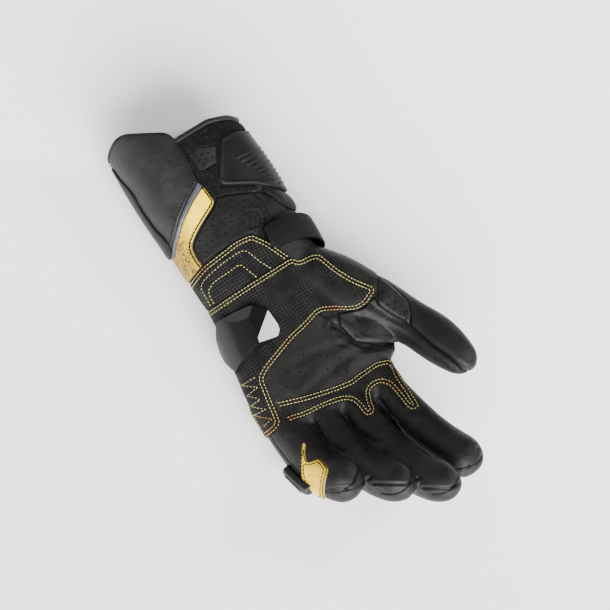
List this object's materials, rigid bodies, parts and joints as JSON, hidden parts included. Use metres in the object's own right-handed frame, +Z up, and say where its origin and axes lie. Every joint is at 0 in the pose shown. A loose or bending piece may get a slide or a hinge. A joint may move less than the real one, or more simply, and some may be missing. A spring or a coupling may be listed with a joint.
{
  "type": "leather motorcycle glove",
  "caption": "Long-cuff leather racing glove for the left hand, lying palm up, with grip patches, a hard palm slider, a wrist strap and a wide wrap-over gauntlet flap.",
  "frame": {"origin": "on the surface that the glove lies on, in the flat underside of the gauntlet, 60 mm towards the cuff from the crease of the wrist", "axes": "+X from the cuff to the fingertips, +Y to the thumb's side, +Z up out of the palm"},
  "size_m": [0.337, 0.1611, 0.0841],
  "materials": {
    "black_leather": "smooth black leather with a fine grain, perforated in places",
    "grip_fabric": "black abrasion fabric with a fine raised net",
    "gold_leather": "pale gold leather, a little creased",
    "grey_leather": "grey reflective stripe",
    "loop_fabric": "black loop pile of a hook and loop closure",
    "lining_fabric": "black woven lining",
    "moulded_rubber": "satin moulded rubber",
    "gloss_plastic": "polished black plastic with flat facets"
  },
  "bodies": {
    "root": {"palm_shell": "black_leather", "back_shell": "black_leather", "little_finger_palm_side": "black_leather", "little_finger_back": "black_leather", "ring_finger_palm_side": "black_leather", "ring_finger_back": "black_leather", "middle_finger_palm_side": "black_leather", "middle_finger_back": "black_leather", "index_finger_palm_side": "black_leather", "index_finger_back": "black_leather", "thumb_outer_panel": "black_leather", "thumb_inner_panel": "black_leather", "heel_patch": "grip_fabric", "palm_patch": "grip_fabric", "inner_palm_panel": "black_leather", "finger_base_patch": "grip_fabric", "thumb_perforated_panel": "black_leather", "little_finger_gold_patch": "gold_leather", "little_finger_guard": "moulded_rubber", "knuckle_guard": "moulded_rubber", "palm_slider": "gloss_plastic", "wrist_strap": "black_leather", "cuff_lining": "lining_fabric", "cuff_edge_binding": "black_leather", "cuff_flap": "black_leather", "cuff_grey_stripe": "grey_leather", "cuff_gold_panel": "gold_leather", "cuff_back": "black_leather", "cuff_loop_field": "loop_fabric", "cuff_window": "black_leather", "cuff_ribbed_panel": "moulded_rubber", "wrist_perforated_panel": "black_leather", "wrist_gusset": "black_leather", "forearm_guard": "moulded_rubber"}
  },
  "joints": []
}
